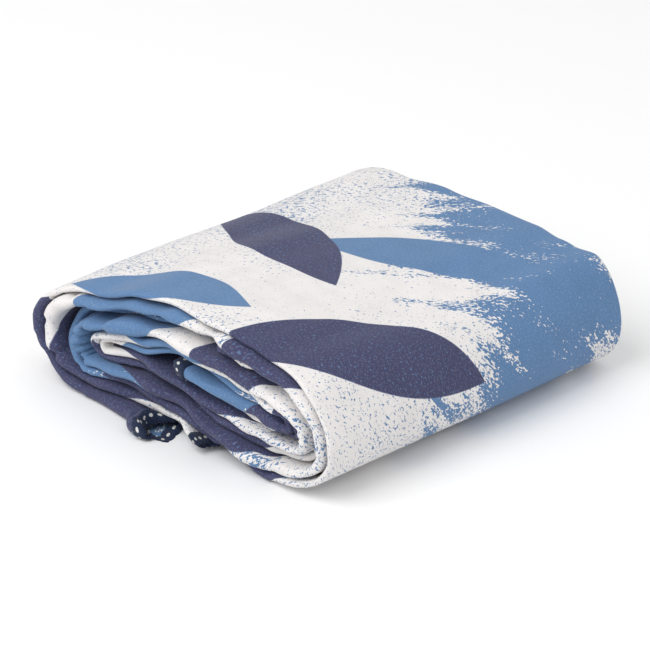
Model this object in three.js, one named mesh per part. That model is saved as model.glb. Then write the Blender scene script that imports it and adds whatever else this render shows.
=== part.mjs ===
// A microfibre towel with an overlocked edging, folded in four across its width and then rolled
// flat into a soft bundle. Millimetres, +Z up. X runs across the folded width: at -X the strip
// shows its two folded edges, at +X its one middle fold. Y runs along the roll's flat runs, with
// the pocket of its left fold at +Y. The bundle lies on z = 0, centred over the origin.
import * as THREE from "three";
import { mergeVertices } from "three/addons/utils/BufferGeometryUtils.js";

// Driving dimensions
const STRIP_WIDTH = 232; // a quarter of the towel's width, between the folded edges
const LAYER_GAP = 0.6; // between layers that lie on each other
const MIDDLE_FOLD_DEPTH = 12; // how far in the middle fold holds the two halves together
const EDGING_WIDTH = 8; // how far the edging stands out from a hem
const HEM_GAP = 1.5; // between the cloth and its edging, along the strip
const EDGING_SHARE = 0.92; // how thick the edging is beside the strip

// Places across the bundle, from its left fold to its right one, where the pile is measured
const STATIONS = { left: -63, belly: -26, core: 2, end: 37, foot: 56, heel: 69, right: 77 };

// The runs of the roll, from the bottom of the pile to the top, and how thick each is at the
// stations. Where a run has ended, its number is the hollow that it leaves.
const RUNS = [
  { name: "outer", left: 13, belly: 13, core: 11, end: 4.5, foot: 0, heel: 0, right: 2 },
  { name: "second low", left: 11, belly: 14, core: 13, end: 14, foot: 14, heel: 13, right: 12 },
  { name: "third low", left: 7, belly: 9.5, core: 9, end: 11, foot: 12, heel: 12, right: 11.5 },
  { name: "inner", left: 2, belly: 0, core: 11, end: 12, foot: 12, heel: 11, right: 10.5 },
  { name: "third high", left: 7, belly: 10, core: 9, end: 9, foot: 8.5, heel: 8.5, right: 9 },
  { name: "second high", left: 12, belly: 14.5, core: 11, end: 11.5, foot: 12.5, heel: 12, right: 11 },
  { name: "top", left: 13.5, belly: 13.5, core: 11.5, end: 12.5, foot: 12, heel: 11.5, right: 11 },
];

// The way along the strip, from its outer end to its inner end: each run, the side it heads for,
// and the fold after it. A fold starts at a place across the bundle. From there its outer side
// reaches so far out, and the pocket inside it is so deep.
const ROUTE = [
  { run: "outer", towards: "left", at: -63, reach: 48, pocket: 29 },
  { run: "top", towards: "right", at: 77, reach: 37.3, pocket: 28.7 },
  { run: "second low", towards: "left", at: -63, reach: 25.7, pocket: 4 },
  { run: "second high", towards: "right", at: 77, reach: 26.7, pocket: 18.3 },
  { run: "third low", towards: "left", at: -53, reach: 10.7, pocket: 3.2 },
  { run: "third high", towards: "right", at: 77, reach: 10.8, pocket: 5.2 },
  { run: "inner", towards: "left" },
];
const POCKET_LEAN = 0.1; // how much further a left pocket reaches where its fold ends

// The noses of each run, in the same order: the outer tube of doubled cloth takes a share of the
// strip's thickness, and the two folded edges lie so far behind the bundle's end
const NOSES = [
  { share: 0.55, outerBack: -3, innerBack: 3 },
  { share: 0.3, outerBack: 5, innerBack: 1 },
  { share: 0.42, outerBack: 3, innerBack: -1 },
  { share: 0.3, outerBack: 11, innerBack: -2 },
  { share: 0.45, outerBack: 6, innerBack: 3 },
  { share: 0.6, outerBack: 3, innerBack: 6 },
  { share: 0.34, outerBack: 9, innerBack: 1 },
];

// How far the folded edges wander in and out of line along the strip, in waves of one length
const WANDER = { by: 1.6, length: 75 };

// The two hems that end the strip. A lag slants the end, because the inner tube trails behind
// the outer one, and a flare pulls the folded edges out of the bundle's end.
const OUTER_HEM = { at: 1, lag: 16, flare: 8 };
const INNER_HEM = { at: 11, lag: 0, flare: 2 };
const FLARE_REACH = 32; // how far along the strip a hem's lag and flare fade out

// How far the edging stands out at the folds, at shares of the way across its width
const EDGING_LOBE = [
  { across: 0, out: 0 },
  { across: 0.35, out: 2.5 },
  { across: 0.75, out: 3 },
  { across: 1, out: 1.5 },
];

// How the bundle settles: it sags at its left fold and towards its far end. There it also leans,
// hollows in the middle, spreads, drifts towards its right side and tucks its right folds in.
// The folds bulge out more at the table than at the top, and neither end is quite square.
const HALF_RUN = 110;
const PILE_MIDDLE = 39;
const LEFT_SAG = 0.105;
const FAR_SAG = 0.083;
const FAR_LEAN = 0.017;
const FAR_HOLLOW = 0.08;
const FAR_SPREAD = 1.061;
const FAR_DRIFT = 17.5;
const FAR_TUCK = 0.43;
const LEFT_BULGE = 0.075;
const RIGHT_BULGE = 0.22;
const NEAR_SKEW = 2.4;
const FAR_SKEW = -4.5;
// Soft swells of the pile: how many waves lie along x and along u, where they start and how
// much of the height they take
const SWELLS = [
  { wavesX: 0.9, wavesU: 0.6, phase: 0.6, share: 0.014 },
  { wavesX: 1.7, wavesU: -1.1, phase: 2.1, share: 0.011 },
  { wavesX: 0.4, wavesU: 2.6, phase: 4.0, share: 0.008 },
];

// How finely the shapes are stepped
const RUN_STEP = 17.5;
const NOSE_STEPS = 4;
const MIDDLE_FOLD_STEPS = 5;
const WIDTH_STEPS = 6;

const mix = THREE.MathUtils.lerp;
const ease = (from, to, x) => THREE.MathUtils.smoothstep(x, from, to);

// A run's middle height and thickness at one station: it lies on the runs beneath it
function atStation(name, station) {
  let base = 0;
  for (const run of RUNS) {
    const thick = run[station];
    if (run.name === name) return { z: base + thick / 2, thick };
    base += thick > 0 ? thick + LAYER_GAP : 0;
  }
}

// The places where the runs bend, in equal steps from each station to the next, with each
// place's eased share of the way between the two
function bendPlaces() {
  const names = Object.keys(STATIONS);
  const places = [{ u: STATIONS[names[0]], from: names[0], to: names[1], share: 0 }];
  for (let i = 1; i < names.length; i++) {
    const [from, to] = [names[i - 1], names[i]];
    const steps = Math.ceil((STATIONS[to] - STATIONS[from]) / RUN_STEP);
    for (let k = 1; k <= steps; k++) {
      const part = k / steps;
      places.push({ u: mix(STATIONS[from], STATIONS[to], part), from, to, share: ease(0, 1, part) });
    }
  }
  return places;
}
const BENDS = bendPlaces();

// A run's middle height and thickness anywhere across the bundle, straight between its bends
function runAt(name, u) {
  const atBend = ({ from, to, share }) => {
    const [near, far] = [atStation(name, from), atStation(name, to)];
    return { z: mix(near.z, far.z, share), thick: mix(near.thick, far.thick, share) };
  };
  const next = THREE.MathUtils.clamp(BENDS.findIndex((bend) => bend.u >= u), 1, BENDS.length - 1);
  const share = (u - BENDS[next - 1].u) / (BENDS[next].u - BENDS[next - 1].u);
  const [a, b] = [atBend(BENDS[next - 1]), atBend(BENDS[next])];
  return { z: mix(a.z, b.z, share), thick: mix(a.thick, b.thick, share) };
}

// One section of the strip on a run, with its outward normal (nu, nz)
function runSection(leg, u) {
  const number = ROUTE.indexOf(leg);
  const { share, outerBack, innerBack } = NOSES[number];
  const wander = WANDER.by * Math.sin((2 * Math.PI * u) / WANDER.length + 2 * number);
  return {
    ...runAt(leg.run, u),
    run: leg.run,
    u,
    nu: 0,
    nz: leg.towards === "left" ? -1 : 1,
    lag: 0,
    share,
    outerBack: outerBack + wander,
    innerBack: innerBack - wander,
  };
}

// A section pulled out of line beside a hem, by how near the hem it is
function nearHem(section, hem, pull) {
  section.lag = hem.lag * pull;
  section.outerBack -= hem.flare * pull;
  section.innerBack -= (hem.flare * pull) / 2;
  return section;
}

// The fold from one run to the next: its sections lie between two nested half ellipses, which
// start and end on the outer and the inner sides of the two runs
function foldSections(leg, next) {
  const sign = leg.towards === "left" ? -1 : 1;
  const [a, b] = [runSection(leg, leg.at), runSection(next, leg.at)];
  const up = Math.sign(b.z - a.z);
  const side = (reach, shift, part) => {
    const [from, to] = [a.z - (up * shift * a.thick) / 2, b.z + (up * shift * b.thick) / 2];
    const [sine, cosine] = [Math.sin(Math.PI * part), Math.cos(Math.PI * part)];
    const lean = sign < 0 && shift < 0 ? POCKET_LEAN * cosine : 0;
    return new THREE.Vector2(leg.at + sign * reach * (1 - lean) * sine, mix(from, to, (1 - cosine) / 2));
  };
  const steps = Math.round(6 + Math.abs(b.z - a.z) / 10);
  return Array.from({ length: steps - 1 }, (_, k) => {
    const part = (k + 1) / steps;
    const [outer, inner] = [side(leg.reach, 1, part), side(leg.pocket, -1, part)];
    const across = outer.clone().sub(inner);
    return {
      u: (outer.x + inner.x) / 2,
      z: (outer.y + inner.y) / 2,
      nu: across.x / across.length(),
      nz: across.y / across.length(),
      lag: 0,
      thick: across.length(),
      share: mix(a.share, b.share, part),
      outerBack: mix(a.outerBack, b.outerBack, part),
      innerBack: mix(a.innerBack, b.innerBack, part),
    };
  });
}

// The whole strip as sections, from its outer hem to its inner one
function stripSections() {
  return ROUTE.flatMap((leg, i) => {
    const start = i === 0 ? OUTER_HEM.at : ROUTE[i - 1].at;
    const end = i === ROUTE.length - 1 ? INNER_HEM.at : leg.at;
    const [low, high] = [Math.min(start, end), Math.max(start, end)];
    const inner = BENDS.map((bend) => bend.u).filter((u) => u > low && u < high);
    const places = start < end ? [start, ...inner, end] : [start, ...inner.reverse(), end];
    const run = places.map((u) => {
      const section = runSection(leg, u);
      if (i === 0) nearHem(section, OUTER_HEM, 1 - ease(0, FLARE_REACH, Math.abs(u - start)));
      if (i === ROUTE.length - 1) nearHem(section, INNER_HEM, 1 - ease(0, FLARE_REACH, Math.abs(u - end)));
      return section;
    });
    return ROUTE[i + 1] ? [...run, ...foldSections(leg, ROUTE[i + 1])] : run;
  });
}

// The edging beyond a hem, which stands out of the bundle's end in a lobe around each fold.
// Both lie across the strip, so they are swept towards the left as their runs are.
function edgingSections(leg, hem, away) {
  const sections = EDGING_LOBE.map(({ across, out }) => {
    const section = nearHem(runSection(leg, hem.at + away * (HEM_GAP + across * EDGING_WIDTH)), hem, 1);
    section.thick *= EDGING_SHARE;
    section.lag *= EDGING_SHARE;
    section.outerBack -= out;
    section.innerBack -= out / 2;
    return section;
  });
  return away > 0 ? sections.reverse() : sections;
}

// The strip's cut face as [x, t] points, t growing towards the outside of the roll: two flat
// tubes of doubled cloth, joined by the middle fold at +X, with round noses at -X
function stripProfile({ thick, share, outerBack, innerBack }) {
  const half = thick / 2;
  const end = STRIP_WIDTH / 2;
  const slit = half - thick * share;
  const outerRadius = (half - slit - LAYER_GAP / 2) / 2;
  const innerRadius = (half + slit - LAYER_GAP / 2) / 2;
  const outerNose = outerBack + outerRadius - end;
  const innerNose = innerBack + innerRadius - end;
  const points = [];
  const along = (from, to, t) => {
    for (let k = 0; k <= WIDTH_STEPS; k++) points.push([mix(from, to, k / WIDTH_STEPS), t]);
  };
  const turn = (x, t, radius, from, to, steps) => {
    for (let k = 1; k < steps; k++) {
      const angle = mix(from, to, k / steps);
      points.push([x + radius * Math.cos(angle), t + radius * Math.sin(angle)]);
    }
  };
  along(outerNose, end - half, half);
  turn(end - half, 0, half, Math.PI / 2, -Math.PI / 2, MIDDLE_FOLD_STEPS);
  along(end - half, innerNose, -half);
  turn(innerNose, innerRadius - half, innerRadius, -Math.PI / 2, -Math.PI * 1.5, NOSE_STEPS);
  along(innerNose, end - MIDDLE_FOLD_DEPTH, slit - LAYER_GAP / 2);
  along(end - MIDDLE_FOLD_DEPTH, outerNose, slit + LAYER_GAP / 2);
  turn(outerNose, half - outerRadius, outerRadius, -Math.PI / 2, -Math.PI * 1.5, NOSE_STEPS);
  return points;
}

// The same cut face as small convex polygons of places on that ring of points, which can follow
// the settled cloth where long ones would cut through its walls
function cutFacePolygons() {
  const outer = 0;
  const inner = outer + WIDTH_STEPS + MIDDLE_FOLD_STEPS;
  const innerSlit = inner + WIDTH_STEPS + NOSE_STEPS;
  const outerSlit = innerSlit + WIDTH_STEPS + 1;
  const count = outerSlit + WIDTH_STEPS + NOSE_STEPS;
  const span = (from, to) => Array.from({ length: to - from + 1 }, (_, k) => (from + k) % count);
  const polygons = [
    [outerSlit, ...span(outer + WIDTH_STEPS, inner), outerSlit - 1],
    span(inner + WIDTH_STEPS, innerSlit),
    span(outerSlit + WIDTH_STEPS, count),
  ];
  for (let k = 0; k < WIDTH_STEPS; k++) {
    const back = WIDTH_STEPS - k;
    polygons.push([outer + k, outer + k + 1, outerSlit + back - 1, outerSlit + back]);
    polygons.push([inner + k, inner + k + 1, innerSlit + back - 1, innerSlit + back]);
  }
  return polygons;
}

// A point of the tidy roll moved to where it settles in the bundle
function settle(x, u, z) {
  const along = x / STRIP_WIDTH + 0.5;
  const low = 1 - z / PILE_MIDDLE;
  const leftOf = Math.min(0, u - STATIONS.left);
  const rightOf = Math.max(0, u - STATIONS.right);
  const tucked = u + leftOf * LEFT_BULGE * low + rightOf * (RIGHT_BULGE * low - FAR_TUCK * along);
  const across = tucked / HALF_RUN;
  const leftSag = LEFT_SAG * Math.max(0, -across) ** 1.7;
  const farSag = FAR_SAG * ease(0, 0.75, along);
  const lean = along * (FAR_LEAN * across + FAR_HOLLOW * Math.cos((Math.PI * across) / 1.1));
  const swell = SWELLS.reduce((sum, { wavesX, wavesU, phase, share }) =>
    sum + share * Math.sin(2 * Math.PI * (wavesX * along + (wavesU * across) / 2) + phase), 0);
  const y = -tucked * mix(1, FAR_SPREAD, along) - FAR_DRIFT * along;
  const height = z * (1 - leftSag) * (1 - farSag) * (1 - lean) * (1 + swell);
  return new THREE.Vector3(x + mix(NEAR_SKEW, FAR_SKEW, along) * across, y, height);
}

// Where a point of a section's cut face lies in the tidy roll, as [x, u, z]. A slanted section's
// points take their heights from where in the pile they come to lie.
function inRoll({ run, u, z, nu, nz, thick, lag }, [x, t]) {
  if (lag === 0) return [x, u + t * nu, z + t * nz];
  const slanted = u - (2 * lag * t) / thick;
  const there = runAt(run, slanted);
  return [x, slanted, there.z + (t / runAt(run, u).thick) * there.thick * nz];
}

// A closed solid that carries the cut face through the sections. Quads are split the same way
// on both sides of a slit, so that its walls stay parallel.
function sweep(sections) {
  const faces2d = sections.map((section) => stripProfile(section));
  const vertices = sections.flatMap((section, r) =>
    faces2d[r].map((point) => settle(...inRoll(section, point))));
  const count = faces2d[0].length;
  const faces = [];
  for (let r = 0; r + 1 < sections.length; r++) {
    for (let p = 0; p < count; p++) {
      const q = (p + 1) % count;
      const [a, b, c, d] = [r * count + p, r * count + q, (r + 1) * count + q, (r + 1) * count + p];
      if (faces2d[r][q][0] > faces2d[r][p][0]) faces.push(a, c, b, a, d, c);
      else faces.push(a, d, b, b, d, c);
    }
  }
  const last = (sections.length - 1) * count;
  for (const polygon of cutFacePolygons()) {
    for (let k = 1; k + 1 < polygon.length; k++) {
      const [a, b, c] = [polygon[0], polygon[k], polygon[k + 1]];
      faces.push(a, b, c, last + a, last + c, last + b);
    }
  }
  const geometry = new THREE.BufferGeometry().setFromPoints(vertices);
  geometry.setIndex(faces);
  return mergeVertices(geometry, 1e-4);
}

const microfibre = new THREE.MeshStandardMaterial({ name: "microfibre", color: 0xe6e4e3, roughness: 0.85 });
const thread = new THREE.MeshStandardMaterial({ name: "thread", color: 0x1c2a44, roughness: 0.7 });

// A named mesh in the bundle
function piece(name, sections, material) {
  const mesh = new THREE.Mesh(sweep(sections), material);
  mesh.name = name;
  return mesh;
}

const roll = new THREE.Group();
roll.add(piece("towel", stripSections(), microfibre));
roll.add(piece("edging_outer_hem", edgingSections(ROUTE[0], OUTER_HEM, 1), thread));
roll.add(piece("edging_inner_hem", edgingSections(ROUTE.at(-1), INNER_HEM, -1), thread));

const box = new THREE.Box3().setFromObject(roll);
const middle = box.getCenter(new THREE.Vector3());
roll.position.set(-middle.x, -middle.y, 0);

const bundle = new THREE.Group();
bundle.add(roll);
export default bundle;
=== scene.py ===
# %% [markdown]
# # A microfibre towel, rolled into a bundle
# The object is one large towel. It was folded in four across its width and then rolled flat from
# one end, so its visible end shows soft noses of cloth, two for each run of the roll.
# The script starts from the CAD model of the bundle, which gives the sizes and the place of every
# piece. It then models the cloth itself as one thin folded sheet, sews the edging on and gives
# both their finishes.

import math

import bpy
import numpy as np
from mathutils import Matrix, Vector, noise


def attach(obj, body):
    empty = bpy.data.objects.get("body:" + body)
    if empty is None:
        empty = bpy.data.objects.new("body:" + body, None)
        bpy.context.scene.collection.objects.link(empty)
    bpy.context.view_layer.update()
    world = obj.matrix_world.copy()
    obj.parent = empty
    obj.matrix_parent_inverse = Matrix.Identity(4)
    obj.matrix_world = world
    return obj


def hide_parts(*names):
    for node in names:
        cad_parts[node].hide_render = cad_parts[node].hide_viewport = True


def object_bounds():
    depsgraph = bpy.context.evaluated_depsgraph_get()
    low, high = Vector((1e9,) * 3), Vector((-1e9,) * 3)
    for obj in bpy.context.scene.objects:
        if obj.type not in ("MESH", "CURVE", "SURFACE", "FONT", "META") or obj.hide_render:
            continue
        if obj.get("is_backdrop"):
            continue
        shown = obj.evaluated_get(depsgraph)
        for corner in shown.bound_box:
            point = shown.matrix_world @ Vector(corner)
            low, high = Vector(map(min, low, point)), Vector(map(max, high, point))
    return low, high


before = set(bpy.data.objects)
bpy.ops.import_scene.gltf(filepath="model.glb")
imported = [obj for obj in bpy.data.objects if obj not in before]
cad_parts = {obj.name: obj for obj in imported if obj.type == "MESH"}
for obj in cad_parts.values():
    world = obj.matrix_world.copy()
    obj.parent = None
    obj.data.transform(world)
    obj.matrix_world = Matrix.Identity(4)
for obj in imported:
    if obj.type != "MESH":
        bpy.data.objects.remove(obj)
cad_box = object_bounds()
print("CAD nodes:", ", ".join(sorted(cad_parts)))

# %% [markdown]
# ## The pile of runs
# A flat roll is easiest to understand as a pile. Each run of the strip lies on the ones beneath
# it, and folds at the left and right join the runs in the order in which the strip passes
# through them. So two short tables describe the whole roll: how thick each run is at a few
# places, and the strip's way from run to run. They could be measured off the CAD mesh instead,
# but a table can be read and changed. Their sizes are millimetres, as a tailor writes them, and
# `MM` turns them into Blender's metres at the very end.

# %% The runs and the way through them
MM = 0.001
LAYER_GAP = 0.6
STATIONS = {"left": -63, "belly": -26, "core": 2, "end": 37, "foot": 56, "heel": 69, "right": 77}
RUNS = {  # bottom to top, thickness at each station; where a run has ended, its hollow
    "outer": (13, 13, 11, 4.5, 0, 0, 2),
    "second low": (11, 14, 13, 14, 14, 13, 12),
    "third low": (7, 9.5, 9, 11, 12, 12, 11.5),
    "inner": (2, 0, 11, 12, 12, 11, 10.5),
    "third high": (7, 10, 9, 9, 8.5, 8.5, 9),
    "second high": (12, 14.5, 11, 11.5, 12.5, 12, 11),
    "top": (13.5, 13.5, 11.5, 12.5, 12, 11.5, 11),
}
ROUTE = (  # outer end to inner end, with where the next fold starts, its reach and its pocket's depth
    {"run": "outer", "side": -1, "at": -63, "reach": 48, "pocket": 29},
    {"run": "top", "side": 1, "at": 77, "reach": 37.3, "pocket": 28.7},
    {"run": "second low", "side": -1, "at": -63, "reach": 25.7, "pocket": 4},
    {"run": "second high", "side": 1, "at": 77, "reach": 26.7, "pocket": 18.3},
    {"run": "third low", "side": -1, "at": -53, "reach": 10.7, "pocket": 3.2},
    {"run": "third high", "side": 1, "at": 77, "reach": 14, "pocket": 5.2},
    {"run": "inner", "side": -1},
)

print("The strip passes through", len(ROUTE), "runs and turns", len(ROUTE) - 1, "times")


# %% Where a run lies
def ease(start, end, x):
    """A smooth step from 0 at start to 1 at end."""
    share = np.clip((x - start) / (end - start), 0, 1)
    return share * share * (3 - 2 * share)


def mix(a, b, share):
    """The value that lies that share of the way from a to b."""
    return a + (b - a) * share


def pile(name):
    """A run's middle height and its thickness at every station."""
    base = np.zeros(len(STATIONS))
    for run, thicknesses in RUNS.items():
        thick = np.array(thicknesses, float)
        if run == name:
            return base + thick / 2, thick
        base += np.where(thick > 0, thick + LAYER_GAP, 0)


def run_at(name, u):
    """The same anywhere across the bundle, eased from station to station."""
    places = list(STATIONS.values())
    height, thick = pile(name)
    z = np.full(np.shape(u), height[0])
    t = np.full(np.shape(u), thick[0])
    for k in range(len(places) - 1):
        share = ease(places[k], places[k + 1], u)
        z = z + (height[k + 1] - height[k]) * share
        t = t + (thick[k + 1] - thick[k]) * share
    return z, t


top_height, top_thickness = run_at("top", 0.0)
print("The pile is", round(float(top_height + top_thickness / 2), 1), "mm high before it sags")

# %% [markdown]
# ## The way along the strip
# The next step walks the strip from its outer hem to its inner one and writes down, every couple
# of millimetres, where its middle is, which way its outer side faces and how thick it is. A fold
# lies between two half ellipses, one inside the other, which keeps its two sides apart.
# Beside a hem the strip is slanted, because its two halves don't end together, and its folded
# edges flare out of the bundle. The path runs on a little beyond both hems, where the edging will
# be sewn on.

# %% Sections along a run
STEP = 2
KEYS = ("u", "z", "nu", "nz", "thick", "share", "outer_back", "inner_back", "lag", "gap", "open", "drop")
NOSES = (  # outer tube's share of the thickness, then how far back the outer and inner noses lie
    (0.55, -3, 3),
    (0.3, 5, 1),
    (0.42, 3, -1),
    (0.3, 11, -2),
    (0.45, 6, 3),
    (0.6, 3, 6),
    (0.34, 9, 1),
)
WANDER = 1.6  # how far a nose strays from there, to and fro along its run
WANDER_LENGTH = 75
WANDER_LEAD = 2  # how many radians each run's wave is ahead of the last one's


def run_rows(number, start, end):
    """Sections along one run, from u = start to u = end, as a dict of columns."""
    leg = ROUTE[number]
    u = np.linspace(start, end, max(2, int(abs(end - start) / STEP) + 1))
    share, outer_back, inner_back = NOSES[number]
    wander = WANDER * np.sin(2 * math.pi * u / WANDER_LENGTH + WANDER_LEAD * number)
    rows = dict.fromkeys(KEYS, 0 * u)
    rows["u"] = u
    rows["z"], rows["thick"] = run_at(leg["run"], u)
    rows["nz"] = 0 * u + leg["side"]
    rows["share"] = 0 * u + share
    rows["outer_back"] = outer_back + wander
    rows["inner_back"] = inner_back - wander
    rows["gap"] = 0 * u + LAYER_GAP
    return rows


print("Sections along the top run:", len(run_rows(1, STATIONS["left"], STATIONS["right"])["u"]))


# %% Sections beside a hem
# Its place on its run, which way is past it, how far its tubes slant and flare, how open they stand
OUTER_HEM = {"at": 1, "beyond": 1, "lag": 12, "flare": 8, "open": 1.0}
INNER_HEM = {"at": 11, "beyond": -1, "lag": 0, "flare": 2, "open": 0.3}
FLARE_REACH = 32
DROOP_START = 0.75  # the pull at which a nose starts to droop
HEM_ROOM = 1.6  # how much further apart the tubes are at a hem, for the edging between them


def pull_to_hem(rows, hem):
    """Slants and flares a run beside its hem."""
    past = (rows["u"] - hem["at"]) * hem["beyond"]
    # Past the hem nothing fades: the edging goes on as the cloth leaves off
    pull = np.where(past > 0, 1.0, 1 - ease(0, FLARE_REACH, -past))
    rows["lag"] = hem["lag"] * pull
    rows["gap"] = rows["gap"] + HEM_ROOM * pull
    rows["open"] = hem["open"] * pull
    rows["drop"] = hem["open"] * ease(DROOP_START, 1, pull)
    rows["outer_back"] = rows["outer_back"] - hem["flare"] * pull
    rows["inner_back"] = rows["inner_back"] - hem["flare"] / 2 * rows["drop"]


print("At a hem the tubes lie", LAYER_GAP + HEM_ROOM, "mm apart")


# %% Sections round a fold
POCKET_LEAN = 0.1  # how much further a left pocket reaches where its fold ends


def fold_rows(number):
    """Sections round the fold from one run to the next, between two nested half ellipses."""
    leg = ROUTE[number]
    u = leg["at"]
    before = {key: values[0] for key, values in run_rows(number, u, u).items()}
    after = {key: values[0] for key, values in run_rows(number + 1, u, u).items()}
    up = math.copysign(1, after["z"] - before["z"])
    count = int(math.pi * (leg["reach"] + abs(after["z"] - before["z"]) / 2) / 2 / STEP) + 4
    turn = np.linspace(0, math.pi, count)[1:-1]
    rows = {key: mix(before[key], after[key], turn / math.pi) for key in KEYS}
    down = (1 - np.cos(turn)) / 2
    outer_u = u + leg["side"] * leg["reach"] * np.sin(turn)
    outer_z = mix(before["z"] - up * before["thick"] / 2, after["z"] + up * after["thick"] / 2, down)
    lean = POCKET_LEAN * np.cos(turn) if leg["side"] < 0 else 0
    inner_u = u + leg["side"] * leg["pocket"] * (1 - lean) * np.sin(turn)
    inner_z = mix(before["z"] + up * before["thick"] / 2, after["z"] - up * after["thick"] / 2, down)
    rows["u"] = (outer_u + inner_u) / 2
    rows["z"] = (outer_z + inner_z) / 2
    rows["thick"] = np.hypot(outer_u - inner_u, outer_z - inner_z)
    rows["nu"] = (outer_u - inner_u) / rows["thick"]
    rows["nz"] = (outer_z - inner_z) / rows["thick"]
    return rows


print("Sections round the right fold:", len(fold_rows(1)["u"]))


# %% Walk the whole strip
EDGING_WIDTH = 8
BEYOND = EDGING_WIDTH + 4  # how far the path runs on past a hem


def walk_strip():
    """The whole strip as one dict of columns, with the distance s from the outer hem."""
    stretches = []
    for number, leg in enumerate(ROUTE):
        first = number == 0
        last = number == len(ROUTE) - 1
        start = OUTER_HEM["at"] + BEYOND if first else ROUTE[number - 1]["at"]
        end = INNER_HEM["at"] - BEYOND if last else leg["at"]
        rows = run_rows(number, start, end)
        if first:
            pull_to_hem(rows, OUTER_HEM)
        if last:
            pull_to_hem(rows, INNER_HEM)
        stretches.append(rows)
        if not last:
            stretches.append(fold_rows(number))
    path = {key: np.concatenate([rows[key] for rows in stretches]) for key in KEYS}
    steps = np.hypot(np.diff(path["u"]), np.diff(path["z"]))
    path["s"] = np.concatenate([[0], np.cumsum(steps)]) - BEYOND
    return path


PATH = walk_strip()
TOWEL_LENGTH = float(PATH["s"][-1]) - BEYOND
print("The strip is", round(TOWEL_LENGTH), "mm long")

# %% [markdown]
# ## Across the strip
# Folded in four, the cloth goes back and forth across the strip. From one side of the towel it
# runs to the visible end, turns in a nose, runs back as the strip's outermost layer, turns in the
# middle fold, comes forward as the innermost layer, turns in the second nose and runs back.
# `across_strip` answers one question: for a place `w` across the flat towel, where is it on the
# strip's cut face? With it the whole folded towel is a function of two flat coordinates, which
# also are its UV map, so the print can't stretch.

# %% The cut face of the strip
STRIP_WIDTH = 232
CLOTH = 1.0  # how thick the cloth itself is
MIDDLE_FOLD_DEPTH = 14  # how far inside the middle fold the towel's two sides lie
PARTS = (
    "to outer nose", "outer nose", "outermost", "middle fold",
    "innermost", "inner nose", "from inner nose",
)
BOUNDS = (0, 213, 221, 443, 458, 679, 687, 901)  # where each part of the flat width begins and ends
TOWEL_WIDTH = BOUNDS[-1]
NOSE_GROWTH = 6  # how far the bounds of a nose move apart where it is wide open
GROWING = (0, -1, 1, 0, 0, -1, 1, 0)  # which bounds that moves, and which way
NOSE_STRETCH = 1.25  # how much longer than round the noses are
NOSE_FULLNESS = 0.72  # below 1 the noses are blunter than round, as if there were air in them
RUFFLE = 1.5  # how far the hem's edge waves up and down beside its noses
RUFFLE_LENGTH = 21
RUFFLE_REACH = 26
NOSE_MIDDLES = (217, 683)
OUTER_REACH = 1 / 3  # how much further a wide open outer nose stands out
INNER_DROOP = 0.8  # how much deeper a drooping inner nose hangs


def across_strip(rows, w, lift):
    """The place (x, t) on the strip of flat place w, lifted off the sheet's middle."""
    half = rows["thick"] / 2
    end = STRIP_WIDTH / 2
    slit = half - rows["thick"] * rows["share"]
    skin = CLOTH / 2
    layers = {
        "top": half - skin,
        "under": slit + rows["gap"] / 2 + skin,
        "over": slit - rows["gap"] / 2 - skin,
        "bottom": skin - half,
    }
    outer = (layers["top"] - layers["under"]) / 2
    inner = (layers["over"] - layers["bottom"]) / 2
    outer_nose = rows["outer_back"] + skin + outer * NOSE_STRETCH - end
    inner_nose = rows["inner_back"] + skin + inner * NOSE_STRETCH - end
    middle = end - half
    side = end - MIDDLE_FOLD_DEPTH
    # At an open hem the noses are larger, and take up more of the cloth beside them
    more = NOSE_GROWTH * rows["open"]
    bounds = [bound + way * more for bound, way in zip(BOUNDS, GROWING)]
    ruffle = RUFFLE * rows["open"] * np.sin(2 * math.pi * w / RUFFLE_LENGTH)
    lift = lift + ruffle * sum(np.exp(-(((w - nose) / RUFFLE_REACH) ** 2)) for nose in NOSE_MIDDLES)
    x = np.zeros(np.broadcast(half, w).shape)
    t = np.zeros_like(x)
    for number, name in enumerate(PARTS):
        share = np.clip((w - bounds[number]) / (bounds[number + 1] - bounds[number]), 0, 1)
        turn = share * math.pi
        here = (w >= bounds[number]) & (w <= bounds[number + 1])
        if name == "to outer nose":
            place = (mix(side, outer_nose, share), layers["under"] - lift)
        elif name == "outer nose":
            bulb = 1 + rows["open"] * np.maximum(0, np.sin(2 * turn))
            reach = (outer * NOSE_STRETCH + lift) * np.sin(turn) ** NOSE_FULLNESS
            reach = reach * (1 + rows["open"] * OUTER_REACH)
            nose_middle = (layers["top"] + layers["under"]) / 2
            place = (outer_nose - reach, nose_middle - (outer + lift) * np.cos(turn) * bulb)
        elif name == "outermost":
            place = (mix(outer_nose, middle, share), layers["top"] + lift)
        elif name == "middle fold":
            place = (middle + (half - skin + lift) * np.sin(turn), (half - skin + lift) * np.cos(turn))
        elif name == "innermost":
            place = (mix(middle, inner_nose, share), layers["bottom"] - lift)
        elif name == "inner nose":
            bulb = 1 + INNER_DROOP * rows["drop"] * np.maximum(0, -np.sin(2 * turn))
            reach = (inner * NOSE_STRETCH + lift) * np.sin(turn) ** NOSE_FULLNESS
            nose_middle = (layers["over"] + layers["bottom"]) / 2
            place = (inner_nose - reach, nose_middle - (inner + lift) * np.cos(turn) * bulb)
        else:
            place = (mix(inner_nose, side, share), layers["over"] + lift)
        x = np.where(here, place[0], x)
        t = np.where(here, place[1], t)
    return x, t


print("The open towel is", TOWEL_WIDTH, "mm wide")

# %% [markdown]
# ## How the bundle settles
# A tidy roll looks like a machine part. The real bundle sags at its left fold and its far end,
# spreads and drifts, and its top swells. One function moves every point of the roll in the same
# smooth way, so layers that lie on each other stay on each other. It is the same function that
# the CAD model uses, so the sheet stays with its solid.

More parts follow.
